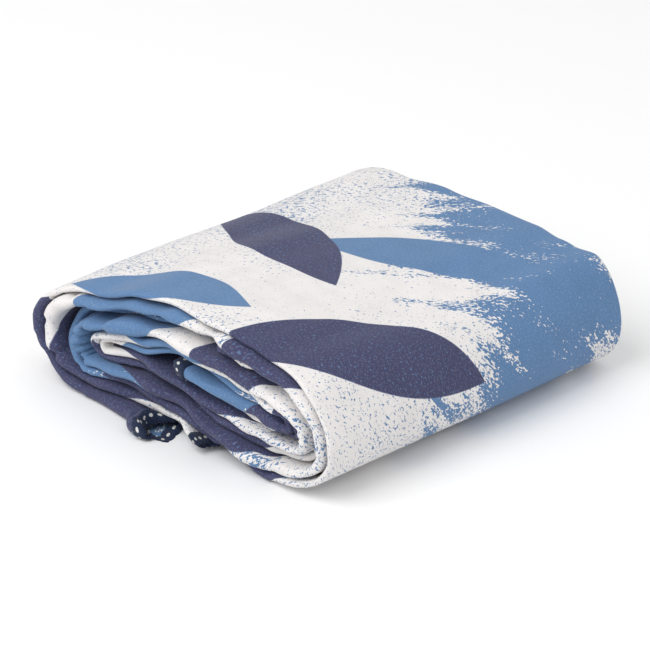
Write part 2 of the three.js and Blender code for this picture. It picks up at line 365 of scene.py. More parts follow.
# %% Settle the roll
HALF_RUN = 110
LEFT_SAG = 0.105
LEFT_SAG_POWER = 1.7  # above 1 the sag grows towards the fold
FAR_SAG = 0.083
FAR_SAG_REACHED = 0.75  # the share of the way to the far end at which it is all there
FAR_LEAN = 0.017
FAR_HOLLOW = 0.08
HOLLOW_WIDTH = 1.1  # the hollow's share of the whole run
FAR_SPREAD = 1.061
FAR_DRIFT = 17.5
FAR_TUCK = 0.43
LEFT_BULGE = 0.075  # how much further the folds reach out at the table than in the middle
RIGHT_BULGE = 0.22
NEAR_SKEW = 2.4
FAR_SKEW = -4.5
SWELLS = (  # waves along x, waves along u, phase, share of the height
    (0.9, 0.6, 0.6, 0.014),
    (1.7, -1.1, 2.1, 0.011),
    (0.4, 2.6, 4.0, 0.008),
)
PILE_MIDDLE = 39
ROLL_PLACE = (4.6, 6.1)  # where the strip's middle lies in the bundle


def settle(x, u, z):
    """Moves points of the tidy roll to where they settle, in the frame's millimetres."""
    along = x / STRIP_WIDTH + 0.5
    low = 1 - z / PILE_MIDDLE
    tucked = np.clip(u, STATIONS["left"], STATIONS["right"])
    tucked = tucked + np.minimum(0, u - STATIONS["left"]) * (1 + LEFT_BULGE * low)
    tucked = tucked + np.maximum(0, u - STATIONS["right"]) * (1 - FAR_TUCK * along + RIGHT_BULGE * low)
    across = tucked / HALF_RUN
    left_sag = LEFT_SAG * np.maximum(0, -across) ** LEFT_SAG_POWER
    far_sag = FAR_SAG * ease(0, FAR_SAG_REACHED, along)
    lean = along * (FAR_LEAN * across + FAR_HOLLOW * np.cos(math.pi * across / HOLLOW_WIDTH))
    swell = sum(
        share * np.sin(2 * math.pi * (waves_x * along + waves_u * across / 2) + phase)
        for waves_x, waves_u, phase, share in SWELLS
    )
    y = -tucked * mix(1, FAR_SPREAD, along) - FAR_DRIFT * along
    height = z * (1 - left_sag) * (1 - far_sag) * (1 - lean) * (1 + swell)
    skew = mix(NEAR_SKEW, FAR_SKEW, along) * across
    return np.stack([x + skew + ROLL_PLACE[0], y + ROLL_PLACE[1], height], axis=-1)


left_fold = settle(0, np.array([-HALF_RUN, STATIONS["left"]]), PILE_MIDDLE)
print("The left fold lies between y =", left_fold[1, 1].round(), "and", left_fold[0, 1].round(), "mm")

# %% [markdown]
# ## What is uneven about it
# No real roll is as even as its tables. The whole pile shifts a little, most deep in its visible
# end. Beside the outer hem the cloth stands open in lobes, and at a few places a nose stands open
# or bulges. A sculpting brush could do all this by hand, but short tables of places can be read,
# changed and repeated.

# %% Rumple the pile
RUMPLES = (  # the largest shift along x, then u, then z; where its noise starts, and its waves' lengths
    {"by": 3.2, "start": 5, "x": 90, "u": 24, "z": 10},
    {"by": 3.0, "start": 17, "x": 80, "u": 40, "z": 26},
    {"by": 4.0, "start": 31, "x": 80, "u": 46, "z": 30},
)
RUMPLE_REACH = 40  # how far from the visible end the shifts die down
RUMPLE_FAR = 0.15  # and the share of them that is left there
RIM_FADE = 1.3  # above 1 the shifts fade only close to the pile's rim
RIM_LEFT = 0.3  # and the share of them that is left there
TABLE_CALM = 8  # how near the table the heights grow calm


def rumple(x, u, z):
    """Small smooth shifts of the whole pile: largest deep in its visible end, none at the table."""
    near = mix(RUMPLE_FAR, 1, np.exp(-np.maximum(0, x + STRIP_WIDTH / 2) / RUMPLE_REACH))
    rim = (u / HALF_RUN) ** 2 + ((z - PILE_MIDDLE) / PILE_MIDDLE) ** 2
    near = near * np.clip(RIM_FADE - rim * rim, RIM_LEFT, 1)
    shift_x, shift_u, shift_z = (
        near * wave["by"] * np.array([
            noise.noise(Vector((c / wave["x"] + wave["start"], a / wave["u"], b / wave["z"])))
            for c, a, b in zip(x, u, z)
        ])
        for wave in RUMPLES
    )
    return x + shift_x, u + shift_u, z + shift_z * z / (np.abs(z) + TABLE_CALM)


print("The pile shifts by up to", max(wave["by"] for wave in RUMPLES), "mm")


# %% Open the noses
LOBES = (  # the outer hem's lobes: middle and reach across the towel, shifts along x, u and z, droop
    (203, 7.6, -1.5, 0, 8, 1.0),
    (237, 7, -7, 8, 0, 0.1),
    (706, 6, -5, 4, 0, 0.1),
)
LOBE_REACH = 20
BULGES = (  # where noses stand open: middle and reach along, the same across, shifts along x, u and z
    (277, 10, 684, 6, -4, 0, 1.2),
    (699, 11, 216, 12, -10, 0, 1.6),
    (716, 7, 219, 9, -6, 0, 0.8),
    (586, 9, 684, 9, -1.5, 0, 0),
    (122, 34, 676, 14, -4.5, 2.2, 0),
)


def open_noses(s, w, x, u, z):
    """Opens the lobes at the outer hem, where the edging droops, and the noses that bulge."""
    beyond = np.maximum(0, -s)
    for middle, reach, shift_x, shift_u, shift_z, droop in LOBES:
        lobe = np.exp(-(((w - middle) / reach) ** 2)) * (1 - ease(0, LOBE_REACH, s))
        x = x + shift_x * lobe
        u = u + (shift_u - droop * beyond) * lobe
        z = z + (shift_z - droop * beyond) * lobe
    for middle_s, reach_s, middle_w, reach_w, shift_x, shift_u, shift_z in BULGES:
        bulge = np.exp(-(((s - middle_s) / reach_s) ** 2) - ((w - middle_w) / reach_w) ** 2)
        x = x + shift_x * bulge
        u = u + shift_u * bulge
        z = z + shift_z * bulge
    return x, u, z


print("Lobes at the outer hem:", len(LOBES), "and open places:", len(BULGES))


# %% Fold any place of the flat towel
INNER_LEAD = 1.5  # how much further the inner tube leads at the outer hem than the outer one lags
TUBE_CHANGE = 60  # how far beside the towel's middle one tube's lag turns into the other's lead


def fold(s, w, lift=0.0, lowest=CLOTH / 2):
    """Where flat place (s, w) of the towel lies in the bundle, on or above the table."""
    rows = {key: np.interp(s, PATH["s"], PATH[key]) for key in KEYS}
    length = np.hypot(rows["nu"], rows["nz"])
    x, t = across_strip(rows, w, lift)
    u = rows["u"] + t * rows["nu"] / length
    z = rows["z"] + t * rows["nz"] / length
    # Beside a hem the inner tube leads, and each point takes its height from where it comes to lie
    half = TOWEL_WIDTH / 2
    slanted = u + rows["lag"] * mix(-1, INNER_LEAD, ease(half - TUBE_CHANGE, half + TUBE_CHANGE, w))
    for leg, here in ((ROUTE[0], s < TOWEL_LENGTH / 2), (ROUTE[-1], s >= TOWEL_LENGTH / 2)):
        z_before, thick_before = run_at(leg["run"], u)
        z_after, thick_after = run_at(leg["run"], slanted)
        grown = (thick_after / np.maximum(thick_before, 1) - 1) * t * leg["side"]
        z = z + np.where(here & (rows["lag"] > 0), z_after - z_before + grown, 0)
    x, u, z = rumple(*open_noses(s, w, x, slanted, z))
    return settle(x, u, np.maximum(z, lowest))


first_nose = fold(np.zeros(1), np.array(NOSE_MIDDLES[:1]))[0]
print("The outer hem's first nose lies at", first_nose.round(), "mm")

# %% [markdown]
# ## The cloth
# The towel starts as a flat grid, as wide and as long as the open towel. Cloth simulation could
# fold it, but four layers rolled seven times would take very long to settle, and it would never
# land in the photographed folds. So each vertex is taken where the fold function says. The grid
# lines lie close where the cloth turns and where it shows, and far apart along the flat runs.

# %% Lay out the grid lines across the towel
NOSE_STEP = 1.0
FOLD_STEP = 1.9
BESIDE_NOSE = ((24, 3.4), (70, 8))  # how far from a nose the lines lie closer, and how close
SHOWN_STEP = 15  # elsewhere in the outermost layer
HIDDEN_STEP = 24  # and inside the strip


def grid_lines(stretches):
    """Numbers that rise through (end, step) stretches from the first one's start."""
    start = stretches[0][0]
    lines = [start]
    for end, step in stretches[1:]:
        count = max(1, round((end - lines[-1]) / step))
        lines.extend(np.linspace(lines[-1], end, count + 1)[1:])
    return np.array(lines)


def lines_across():
    """Grid lines across the towel, closest at the noses and in the middle fold."""
    (near, near_step), (far, far_step) = BESIDE_NOSE
    stretches = [(0, 0)]
    for name, begin, end in zip(PARTS, BOUNDS, BOUNDS[1:]):
        if name in ("outer nose", "inner nose"):
            stretches.append((end, NOSE_STEP))
        elif name == "middle fold":
            stretches.append((end, FOLD_STEP))
        elif name in ("to outer nose", "innermost"):  # its nose is at its end
            stretches += [(end - far, HIDDEN_STEP), (end - near, far_step), (end, near_step)]
        else:  # its nose is at its start
            flat_step = SHOWN_STEP if name == "outermost" else HIDDEN_STEP
            stretches += [(begin + near, near_step), (begin + far, far_step), (end, flat_step)]
    return grid_lines(stretches)


across = lines_across()
print("Grid lines across the towel:", len(across))

# %% Lay out the grid lines along it
HEM_STEP = 2.0
HEM_STRETCH = 30
FLAT_STEP = 3.2
TIGHT_STEP = 1.5
TIGHT_BENDS = (0.005, 0.08)  # radians a millimetre at which the step starts and ends to shrink


def lines_along():
    """Grid lines along the towel, closest round the tight folds and at the hems."""
    wanted = [0.0]
    bend = np.hypot(np.diff(PATH["nu"]), np.diff(PATH["nz"])) / np.maximum(np.diff(PATH["s"]), 0.1)
    while wanted[-1] < TOWEL_LENGTH:
        here = wanted[-1]
        sharp = float(np.interp(here + 1, PATH["s"][1:], bend))
        if min(here, TOWEL_LENGTH - here) < HEM_STRETCH:
            step = HEM_STEP
        else:
            step = mix(FLAT_STEP, TIGHT_STEP, float(ease(*TIGHT_BENDS, sharp)))
        wanted.append(here + step)
    return np.array(wanted) * TOWEL_LENGTH / wanted[-1]


along = lines_along()
print("Grid lines along the towel:", len(along))


# %% A folded grid
def deselect():
    """Nothing is selected afterwards, so the next operator acts only on what it adds."""
    if bpy.context.object and bpy.context.object.mode != "OBJECT":
        bpy.ops.object.mode_set(mode="OBJECT")
    bpy.ops.object.select_all(action="DESELECT")


def folded_grid(name, s_lines, w_lines, place):
    """A flat grid folded by place(s, w), with its flat size in metres as its UV map."""
    deselect()
    cells = {"x_subdivisions": len(s_lines) - 1, "y_subdivisions": len(w_lines) - 1}
    bpy.ops.mesh.primitive_grid_add(size=2, **cells)
    piece = bpy.context.object
    piece.name = name
    mesh = piece.data
    flat = np.empty(3 * len(mesh.vertices))
    mesh.vertices.foreach_get("co", flat)
    flat = flat.reshape(-1, 3)
    columns = np.rint((flat[:, 0] + 1) / 2 * (len(s_lines) - 1)).astype(int)
    rows = np.rint((flat[:, 1] + 1) / 2 * (len(w_lines) - 1)).astype(int)
    s = s_lines[columns]
    w = w_lines[rows]
    mesh.vertices.foreach_set("co", (place(s, w) * MM).ravel())
    corners = np.empty(len(mesh.loops), int)
    mesh.loops.foreach_get("vertex_index", corners)
    mesh.uv_layers[0].name = "flat"
    mesh.uv_layers[0].data.foreach_set("uv", (np.stack([s, w], axis=-1)[corners] * MM).ravel())
    mesh.update()
    return piece


print("A grid over the whole towel has", (len(along) - 1) * (len(across) - 1), "faces")

# %% [markdown]
# ## The creases
# Cloth that is folded and rolled can't lie smooth. Round a tight fold its inner layers have less
# far to go, so they pucker, and beside the noses the soft tubes are dented. A smooth sheet would
# look like rubber there. The main creases are placed one by one in a table, and noise adds the
# small ones between them. A crease only presses cloth into its own tube, and less deep than the
# air in it, which keeps it off the layers around.

# %% Place the creases
CREASE_DEPTH = 0.45  # the share of a tube's air that a full crease presses out
CREASE_REACH = 34  # how far from the noses the creases die down
LEAST_AIR = 0.6  # what a crease leaves in a tube
BEND = np.hypot(np.gradient(PATH["nu"]), np.gradient(PATH["nz"])) / STEP
PUCKER_BENDS = (0.012, 0.07)  # between these bends the fine puckers set in
SMALL_CREASES = {  # lengths along and across, where the noise starts, what is added to it, depth
    "beside the noses": (17, 60, 3.1, 0.1, 0.9),
    "everywhere": (46, 38, 8.7, 0.0, 0.7),
    "in tight folds": (3.4, 24, 5.3, 0.1, 1.6),
}
CREASES = (  # the main creases: middle along and across the towel, half width, half length, depth
    (97, 213, 2.6, 7, 0.6), (107, 214, 2.2, 7, 0.5), (136, 214, 2.6, 8, 0.6), (144, 213, 2.2, 7, 0.6),
    (98, 686, 3.0, 12, 1.0), (121, 690, 2.6, 10, 0.7), (151, 688, 3.0, 14, 1.0),
    (226, 681, 5, 16, 0.8), (262, 690, 6, 14, 0.8),
    (431, 215, 3.2, 10, 0.9), (440, 221, 3.0, 10, 0.8), (450, 214, 3.6, 10, 0.9), (461, 220, 3.4, 9, 0.6),
    (555, 686, 2.4, 15, 0.9), (562, 684, 2.0, 13, 1.0), (569, 687, 2.2, 15, 1.0), (576, 685, 2.0, 13, 0.9),
    (584, 687, 2.4, 14, 0.9), (592, 684, 2.2, 12, 0.7), (611, 688, 3.4, 12, 0.7),
    (688, 222, 4.0, 14, 0.9), (704, 214, 4.0, 12, 0.9),
    (851, 212, 4.4, 12, 0.9), (905, 214, 4.6, 14, 0.8), (917, 221, 3.4, 13, 0.9), (926, 217, 2.6, 10, 0.7),
    (1109, 216, 2.4, 11, 1.0), (1116, 221, 2.2, 10, 0.9), (1125, 214, 2.8, 12, 1.0),
    (1138, 219, 4.0, 12, 0.5),
)


def creases(s, w, near):
    """How far the cloth is pressed into its tube, from 0 to 1, by main and small creases."""
    tight = ease(*PUCKER_BENDS, np.interp(s, PATH["s"], BEND))
    where = {"beside the noses": near, "everywhere": 1.0, "in tight folds": near * tight}
    small = sum(
        depth * where[place] * np.array([
            max(0.0, noise.noise(Vector((a / length, b / breadth, start))) + more)
            for a, b in zip(s, w)
        ])
        for place, (length, breadth, start, more, depth) in SMALL_CREASES.items()
    )
    main = sum(
        depth * np.exp(-(((s - middle_s) / wide) ** 2) - ((w - middle_w) / long) ** 2)
        for middle_s, middle_w, wide, long, depth in CREASES
    )
    return np.minimum(small + main, 1)


print("Main creases:", len(CREASES))


# %% Fold the cloth
def folded_cloth(s, w):
    """The towel's own fold: the fold function, with its creases."""
    rows = {key: np.interp(s, PATH["s"], PATH[key]) for key in KEYS}
    x, _ = across_strip(rows, w, 0.0)
    near = np.exp(-np.maximum(0, x + STRIP_WIDTH / 2) / CREASE_REACH)
    outer_share = np.where(w < TOWEL_WIDTH / 2, rows["share"], 1 - rows["share"])
    air = np.maximum(0, rows["thick"] * outer_share - rows["gap"] / 2 - 2 * CLOTH - LEAST_AIR)
    return fold(s, w, -CREASE_DEPTH * air * creases(s, w, near))


towel = folded_grid("towel_cloth", along, across, folded_cloth)
print("The towel has", len(towel.data.polygons), "faces before it gets its thickness")


# %% Give the cloth its thickness
def face_outwards(piece, inwards):
    """Flips every face if the sheet's printed side faces inwards."""
    if inwards:
        deselect()
        bpy.context.view_layer.objects.active = piece
        piece.select_set(True)
        bpy.ops.object.mode_set(mode="EDIT")
        bpy.ops.mesh.select_all(action="SELECT")
        bpy.ops.mesh.flip_normals()
        bpy.ops.object.mode_set(mode="OBJECT")


def printed_side_faces_in(piece):
    """Whether the top of the bundle has its normals turned down."""
    top = max(piece.data.polygons, key=lambda face: face.center.z)
    return top.normal.z < 0


def thicken(piece, thickness):
    """Solidify on both sides of the sheet, applied, with smooth shading."""
    deselect()
    bpy.context.view_layer.objects.active = piece
    piece.select_set(True)
    solidify = piece.modifiers.new("thickness", "SOLIDIFY")
    solidify.thickness = thickness * MM
    solidify.offset = 0
    bpy.ops.object.modifier_apply(modifier=solidify.name)
    bpy.ops.object.shade_smooth()


face_outwards(towel, printed_side_faces_in(towel))
thicken(towel, CLOTH)
print("The towel has", len(towel.data.polygons), "faces")

# %% [markdown]
# ## The edging
# The towel's edge is overlocked with thick navy thread, in close stitches that give it a
# scalloped outline, and a white thread shows as a row of small dots. A plain strip with a
# painted edge would look flat where it stands out of the bundle, so each hem's edging is a
# narrow tube of its own, swept along the hem through the same fold function. Its width and its
# thickness swell once for each stitch. Along the towel's sides the edging is hidden inside the
# middle fold, so only its colour is made there, in the cloth's finish.

# %% Sew on the edging
STITCH = 3.6
STEPS_PER_STITCH = 5
SCALLOP = (0.93, 0.1)  # the share of the edging's width between two stitches, and what a stitch adds
PLUMPNESS = (0.9, 0.25)  # the same for its thickness
EDGING_LOWEST = 0.1
EDGING_RING = (  # how far across the edging and how far off the sheet, round its section
    (-0.12, 0.95), (0.15, 1.25), (0.45, 1.3), (0.75, 1.1), (0.97, 0.55),
    (0.97, -0.55), (0.75, -1.1), (0.45, -1.3), (0.15, -1.25), (-0.12, -0.95),
)


def hem_edging(name, hem_s, away):
    """An overlocked edging along a hem at s = hem_s, standing out in the direction away."""
    stitches = round(TOWEL_WIDTH / STITCH)
    w_lines = np.linspace(0, TOWEL_WIDTH, stitches * STEPS_PER_STITCH + 1)
    ring = np.array(EDGING_RING + EDGING_RING[:1])
    places = np.arange(len(ring), dtype=float)

    def place(k, w):
        """Ring place k of the edging's section, at w along the hem."""
        swell = np.abs(np.sin(math.pi * w * stitches / TOWEL_WIDTH))
        out = np.interp(k, places, ring[:, 0]) * EDGING_WIDTH * (SCALLOP[0] + SCALLOP[1] * swell)
        lift = np.interp(k, places, ring[:, 1]) * (PLUMPNESS[0] + PLUMPNESS[1] * swell)
        return fold(hem_s + away * out, w, lift, EDGING_LOWEST)

    piece = folded_grid(name, places, w_lines, place)
    deselect()
    bpy.context.view_layer.objects.active = piece
    piece.select_set(True)
    bpy.ops.object.mode_set(mode="EDIT")
    bpy.ops.mesh.select_all(action="SELECT")
    bpy.ops.mesh.remove_doubles(threshold=MM / 100)
    bpy.ops.mesh.fill_holes(sides=0)
    bpy.ops.mesh.normals_make_consistent(inside=False)
    bpy.ops.object.mode_set(mode="OBJECT")
    bpy.ops.object.shade_smooth()
    print(name, "has", stitches, "stitches and", len(piece.data.polygons), "faces")
    return piece


outer_edging = hem_edging("outer_hem_edging", 0, -1)
inner_edging = hem_edging("inner_hem_edging", TOWEL_LENGTH, 1)

# %% [markdown]
# ## Node maths written as sums
# A procedural finish is mostly arithmetic on node sockets. Written node by node it is hard to
# read, so a small class wraps a socket, and `+`, `-`, `*` and `/` on it add the Math nodes. Every
# other node comes from one method.


# %% A wrapper for sockets
class Wire:
    """A node's output socket. Sums on it add Math nodes to its tree."""

    def __init__(self, tree, socket=None):
        self.tree = tree
        self.socket = socket

    def node(self, kind, settings, inputs, output=0):
        """A new node's output: its settings go in first, then its inputs' values or wires."""
        made = self.tree.nodes.new(kind)
        for key, value in settings.items():
            setattr(made, key, value)
        for key, value in inputs.items():
            if isinstance(value, Wire):
                self.tree.links.new(value.socket, made.inputs[key])
            else:
                made.inputs[key].default_value = value
        return Wire(self.tree, made.outputs[output])

    def math(self, operation, *values):
        """A Math node's result for values or wires."""
        return self.node("ShaderNodeMath", {"operation": operation}, dict(enumerate(values)))

    def __add__(self, other):
        return self.math("ADD", self, other)

    def __sub__(self, other):
        return self.math("SUBTRACT", self, other)

    def __rsub__(self, other):
        return self.math("SUBTRACT", other, self)

    def __mul__(self, other):
        return self.math("MULTIPLY", self, other)

    def __truediv__(self, other):
        return self.math("DIVIDE", self, other)

    def __abs__(self):
        return self.math("ABSOLUTE", self)

    __radd__ = __add__
    __rmul__ = __mul__

    def bigger(self, other):
        """The larger of the two."""
        return self.math("MAXIMUM", self, other)

    def smaller(self, other):
        """The lesser of the two."""
        return self.math("MINIMUM", self, other)

    def step(self, start, end):
        """A smooth step from 0 at start to 1 at end."""
        inputs = {"Value": self, "From Min": start, "From Max": end, "To Min": 0.0, "To Max": 1.0}
        return self.node("ShaderNodeMapRange", {"interpolation_type": "SMOOTHSTEP"}, inputs)

    def clouds(self, vector, scale, detail, roughness):
        """A cloud-like noise at a place, from 0 to 1."""
        inputs = {"Vector": vector, "Scale": scale, "Detail": detail, "Roughness": roughness}
        return self.node("ShaderNodeTexNoise", {}, inputs)

    def colour(self, other, share):
        """This colour, and the other one where share is 1."""
        return self.node("ShaderNodeMix", {"data_type": "RGBA"}, {0: share, 6: self, 7: other}, 2)

    def plain(self, colour):
        """The same colour everywhere, for others to be laid on."""
        made = self.node("ShaderNodeRGB", {}, {})
        made.socket.default_value = colour
        return made

    def bumps(self, height, strength):
        """A surface normal that rises and falls with a height in metres."""
        inputs = {"Height": height, "Strength": strength, "Distance": 1.0}
        return self.node("ShaderNodeBump", {}, inputs)

    def feed(self, shader, name):
        """Links this wire to the shader's socket of that name."""
        self.tree.links.new(self.socket, shader.inputs[name])


print("A wire knows:", ", ".join(name for name in vars(Wire) if not name.startswith("_")))

# %% Start a finish
SPECULAR = 0.25
SHEEN_ROUGHNESS = 0.45


def new_finish(name, roughness, sheen):
    """A material with its Principled shader's constants set, and a Wire to build from."""
    material = bpy.data.materials.new(name)
    material.use_nodes = True
    shader = material.node_tree.nodes["Principled BSDF"]
    shader.inputs["Roughness"].default_value = roughness
    shader.inputs["Specular IOR Level"].default_value = SPECULAR
    shader.inputs["Sheen Weight"].default_value = sheen
    shader.inputs["Sheen Roughness"].default_value = SHEEN_ROUGHNESS
    return material, shader, Wire(material.node_tree)


def flat_place(wire):
    """The flat UV map, and its two coordinates."""
    flat = wire.node("ShaderNodeUVMap", {"uv_map": "flat"}, {})
    return flat, *(wire.node("ShaderNodeSeparateXYZ", {}, {0: flat}, output) for output in (0, 1))


print("Every finish has a specular level of", SPECULAR, "and a sheen as rough as", SHEEN_ROUGHNESS)

# %% [markdown]
# ## The print
# The cloth is printed in blue and navy on off-white. Two things make such a print look real. The
# motifs have crisp edges, but they are rubbed through with small specks, and the broad bands of
# blue end in a grain like that of a sponge. One fine noise makes all of it: where the blue is
# thick the noise is cut low and all of it turns blue, and where it is thin only the highest
# grains do. The motifs are simple almond leaves in a repeat.

# %% Draw a leaf
REPEAT = (0.404, 0.453)  # the print's repeat along and across the towel
LEAF_EDGE = (-0.0002, 0.0006)  # metres over which a leaf's outline turns from bare to printed
LEAVES = (  # middle along and across the towel, half length, half width, turn, tone
    (0.318, 0.268, 0.080, 0.027, 58, "navy"),
    (0.196, 0.330, 0.072, 0.024, -20, "navy"),
    (0.262, 0.372, 0.066, 0.021, 34, "blue"),
    (0.205, 0.236, 0.058, 0.022, 12, "blue"),
    (0.055, 0.205, 0.082, 0.030, 8, "navy"),
    (0.392, 0.120, 0.080, 0.028, -20, "navy"),
    (0.120, 0.060, 0.070, 0.024, 35, "blue"),
    (0.020, 0.350, 0.078, 0.026, 80, "navy"),
)


def wrapped(value, middle, repeat):
    """The distance to the nearest repeat of middle."""
    return value.math("WRAP", value - middle, repeat / 2, -repeat / 2)


def leaf(s, w, half_length, half_width, turn):
    """1 inside an almond leaf that lies at (0, 0), turned by so many degrees."""
    cosine = math.cos(math.radians(turn))
    sine = math.sin(math.radians(turn))
    lengthwise = (s * cosine + w * sine) / half_length
    crosswise = abs(w * cosine - s * sine)
    outline = (1 - lengthwise * lengthwise) * half_width
    return (outline - crosswise).step(*LEAF_EDGE)


def drawn_leaves(s, w, tone):
    """1 inside any leaf of that tone."""
    drawn = None
    for middle_s, middle_w, half_length, half_width, turn, leaf_tone in LEAVES:
        if leaf_tone == tone:
            at_s = wrapped(s, middle_s, REPEAT[0])
            at_w = wrapped(w, middle_w, REPEAT[1])
            shape = leaf(at_s, at_w, half_length, half_width, turn)
            drawn = shape if drawn is None else drawn.bigger(shape)
    return drawn


print("The print has", len(LEAVES), "leaves in a repeat of", REPEAT, "m")

# %% Press on the sponged bands
STREAKS = {  # noises drawn out slantwise: marks a metre, how much longer than broad, detail
    "grain": (480, 1.9, 2.5),
    "wander": (3.2, 1.0, 1.0),
    "brush": (46, 3.2, 2.0),
    "worn": (20, 2.2, 2.0),
}
STREAK_ROUGHNESS = 0.6
BAND = {  # the slant, how far the bands stray, and their middle, repeat, half width and soft edge
    "s": 0.55, "w": 0.85, "wander": 0.16,
    "middle": 0.60, "repeat": 0.355, "half": 0.085, "soft": 0.075,
}
BRUSH_RAGGED = 1.9
PRESSED = (-0.15, 0.95)
WORN = (0.50, 0.72)
WORN_SHARE = 0.42


def streaks(s, w, name):
    """A noise with its marks drawn out along the brush's slanting way."""
    scale, drawn_out, detail = STREAKS[name]
    lengthwise = (s + w) * (scale / drawn_out)
    crosswise = (w - s) * scale
    vector = s.node("ShaderNodeCombineXYZ", {}, {0: lengthwise, 1: crosswise})
    return s.clouds(vector, 1, detail, STREAK_ROUGHNESS)


def bands(s, w):
    """How hard the sponge pressed, from 0 to 1: broad slanting bands with ragged edges."""
    slantwise = s * BAND["s"] + w * BAND["w"] + streaks(s, w, "wander") * BAND["wander"]
    from_middle = abs(wrapped(slantwise, BAND["middle"], BAND["repeat"]))
    ragged = (streaks(s, w, "brush") - 0.5) * BRUSH_RAGGED
    pressure = ((BAND["half"] - from_middle) / BAND["soft"] + ragged).step(*PRESSED)
    return pressure * (1 - streaks(s, w, "worn").step(*WORN) * WORN_SHARE)


print("The bands are about", round(2 * BAND["half"], 2), "m wide")

# %% Print the cloth
OFF_WHITE = (0.785, 0.762, 0.750, 1)
MID_BLUE = (0.108, 0.214, 0.395, 1)
NAVY = (0.054, 0.056, 0.126, 1)
PILE_DARK = (0.02, 0.02, 0.03, 1)
# the colour of a painted sheen that lightens patches of the blue and navy
PAINTED_SHEEN = (0.80, 0.80, 0.82, 1)
THREAD_NAVY = (0.013, 0.024, 0.062, 1)
SIDE_HEM = (0.0077, 0.0083)  # how far from the side the dyed edging ends
CLOUDS = {  # marks a metre, detail, roughness
    "dots": (640, 1.5, 0.5),
    "drift": (9, 2, 0.5),
    "shade": (60, 3, 0.6),
    "pile": (900, 1, 0.5),
    "fine": (1500, 2, 0.5),
    "broad": (130, 3, 0.55),
}
THIN_COVER = ((0.36, 0.66), 0.34)  # where the drift lays thin blue outside the bands, and how much
COVER_SHARE = 0.46
BLUE_CUT = (0.716, 0.728)
SPECKS = (0.34, (0.835, 0.850))  # how much the drift gathers the specks, and where they are cut
RUBBED = (0.22, (0.775, 0.79))  # the same for the rubbed places of the blue leaves
SHINE_THROUGH = (0.16, (0.715, 0.75), 0.6)  # and for the blue in the navy, with its strength
COARSE_MOTTLE = ((0.25, 0.85), 0.10)
FINE_MOTTLE = ((0.45, 0.75), 0.07)
# where and how strongly the painted sheen lightens the blue and navy
SHEEN_MOTTLE = ((0.50, 0.30), 0.06)
PILE_HEIGHTS = (0.00012, 0.0006)  # of the fine and the broad relief
PILE_STRENGTH = 0.5


def printed_cloth():
    """The towel's finish: print, grain, pile, a painted sheen on the blue and navy, and a soft sheen."""
    material, shader, wire = new_finish("printed_microfibre", roughness=0.82, sheen=0.12)
    flat, s, w = flat_place(wire)
    cloud = {name: wire.clouds(flat, *settings) for name, settings in CLOUDS.items()}
    grain = streaks(s, w, "grain")
    drift = cloud["drift"]
    cover = bands(s, w).bigger(drift.step(*THIN_COVER[0]) * THIN_COVER[1])
    blue = (grain + cover * COVER_SHARE).step(*BLUE_CUT)
    blue = blue.bigger((cloud["dots"] + drift * SPECKS[0]).step(*SPECKS[1]))
    rubbed = 1 - (grain + drift * RUBBED[0]).step(*RUBBED[1])
    blue = blue.bigger(drawn_leaves(s, w, "blue") * rubbed)
    navy = drawn_leaves(s, w, "navy")
    # Navy covers all, but a little of the lighter blue shines through it as fine specks
    shining = (cloud["dots"] + drift * SHINE_THROUGH[0]).step(*SHINE_THROUGH[1])
    inked = blue.bigger(navy)
    printed = wire.plain(OFF_WHITE).colour(MID_BLUE, inked)
    printed = printed.colour(NAVY, navy * (1 - shining * SHINE_THROUGH[2]))
    # The colours are mottled darker at random, coarsely and finely, as the pile lies this way and that; on
    # the blue and navy a painted sheen lightens patches towards grey
    coarse = cloud["shade"].step(*COARSE_MOTTLE[0]) * COARSE_MOTTLE[1]
    fine = cloud["pile"].step(*FINE_MOTTLE[0]) * FINE_MOTTLE[1]
    light = inked * cloud["pile"].step(*SHEEN_MOTTLE[0]) * SHEEN_MOTTLE[1]
    printed = printed.colour(PILE_DARK, coarse + fine).colour(PAINTED_SHEEN, light)
    # Along the towel's sides the overlocked edge lies inside the middle fold, and is only dyed
    to_side = w.smaller(TOWEL_WIDTH * MM - w)
    printed.colour(THREAD_NAVY, 1 - to_side.step(*SIDE_HEM)).feed(shader, "Base Color")
    relief = cloud["fine"] * PILE_HEIGHTS[0] + cloud["broad"] * PILE_HEIGHTS[1]
    wire.bumps(relief, PILE_STRENGTH).feed(shader, "Normal")
    return material


cloth_finish = printed_cloth()
print("The print's finish has", len(cloth_finish.node_tree.nodes), "nodes")

# %% Dye the edging's threads
THREAD_WHITE = (0.72, 0.72, 0.70, 1)
DOT_ROWS = (2.1, 6.9)  # the ring's places beside which the two rows of dots lie
DOT_REACH = 0.42
DOT_FLATNESS = 4.2  # how much shorter a dot is along the hem than its stitch
DOT_EDGE = (0.75, 1.15)
STRANDS = 3  # of thread in each stitch
STRAND_SLANT = 900
THREAD_HEIGHTS = (0.00025, 0.0004)  # of the strands and of the dots
THREAD_STRENGTH = 0.7


def overlock_thread():
    """Navy thread in close stitches, with one white dot in each."""
    material, shader, wire = new_finish("overlock_thread", roughness=0.7, sheen=0.1)
    _, around, along_hem = flat_place(wire)
    pitch = TOWEL_WIDTH / round(TOWEL_WIDTH / STITCH) * MM
    stitch = wrapped(along_hem, pitch / 2, pitch) / (pitch / 2)
    upper, lower = (abs(around / MM - row) / DOT_REACH for row in DOT_ROWS)
    side = upper.smaller(lower)
    dot = 1 - (side * side + stitch * stitch * DOT_FLATNESS).step(*DOT_EDGE)
    wire.plain(THREAD_NAVY).colour(THREAD_WHITE, dot).feed(shader, "Base Color")
    strand = wire.math("SINE", along_hem * (2 * math.pi * STRANDS / pitch) + around * STRAND_SLANT)
    relief = strand * THREAD_HEIGHTS[0] + dot * THREAD_HEIGHTS[1]
    wire.bumps(relief, THREAD_STRENGTH).feed(shader, "Normal")
    return material


